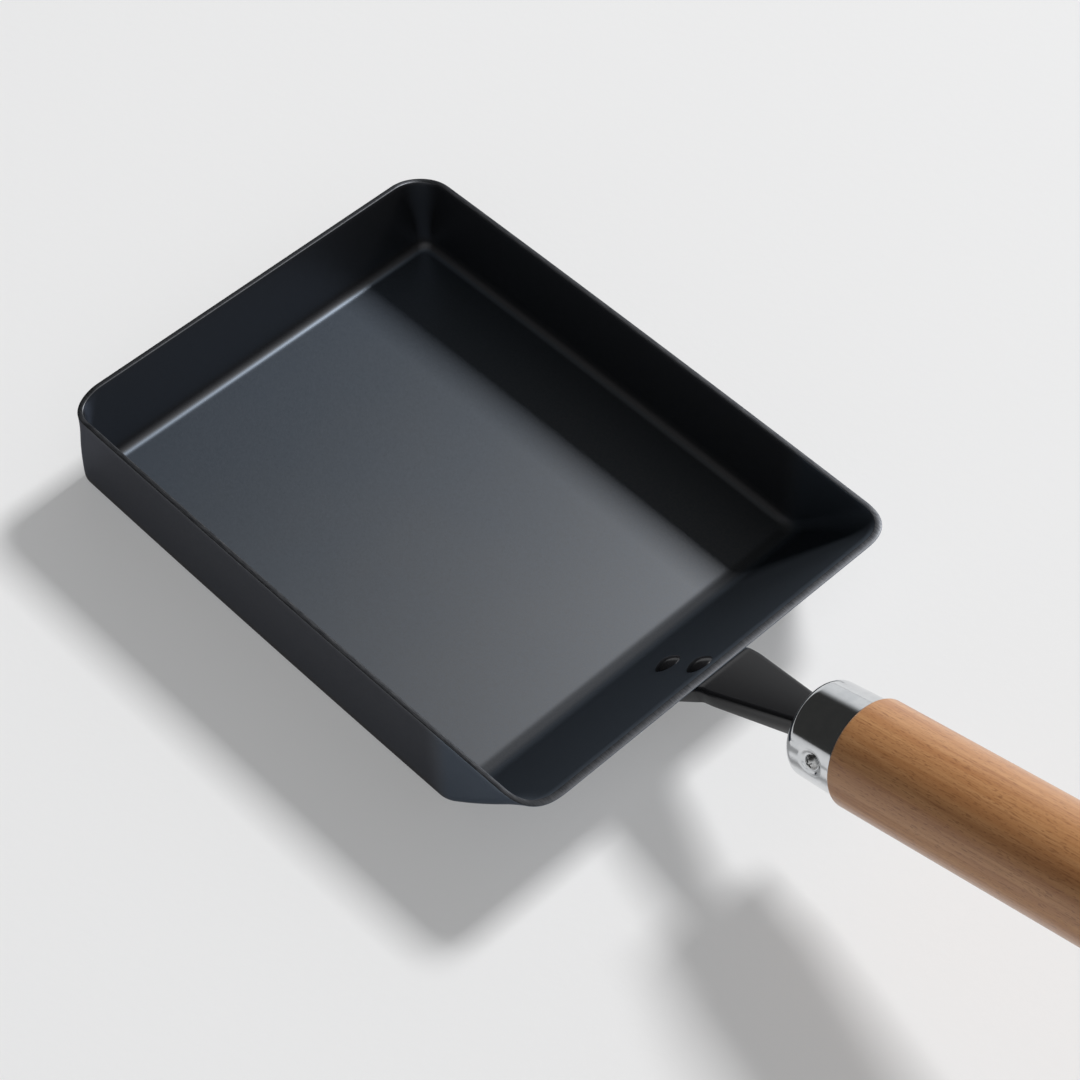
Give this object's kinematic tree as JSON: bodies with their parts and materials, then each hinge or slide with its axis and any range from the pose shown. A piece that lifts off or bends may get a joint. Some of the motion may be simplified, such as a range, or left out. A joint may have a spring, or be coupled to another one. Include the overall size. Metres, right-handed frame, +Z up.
{
  "type": "tamagoyaki pan",
  "caption": "Rectangular steel pan for rolled omelettes, with one sloped wall, a riveted stem and a round wooden grip that ends in a swinging wire hanger.",
  "frame": {"origin": "middle of the pan's flat foot, on the surface that the pan stands on", "axes": "+X towards the handle, +Z up, and +Y to the left seen from the pan along the handle"},
  "size_m": [0.3485, 0.1324, 0.0886],
  "materials": {
    "pan_steel": "satin blue-grey heat-treated steel",
    "black_paint": "satin black baked paint",
    "black_rivet": "gloss black",
    "bright_plate": "bright plated",
    "screw_steel": "bright plated",
    "beech": "oiled beech, fine short flecks",
    "wire_steel": "bright zinc-plated wire"
  },
  "bodies": {
    "pan": {"pan_body": "pan_steel", "handle_stem": "black_paint", "rivet_lower": "black_rivet", "rivet_upper": "black_rivet", "ferrule": "bright_plate", "ferrule_screw": "screw_steel", "wood_grip": "beech", "bail_bush": "wire_steel"},
    "bail": {"hang_bail": "wire_steel"}
  },
  "joints": [
    {"name": "bail_hinge", "type": "hinge", "parent": "pan", "child": "bail", "pos_m": [0.26047, 0, 0.07395], "axis": [0, 1, 0], "range_deg": [-252, 40]}
  ]
}
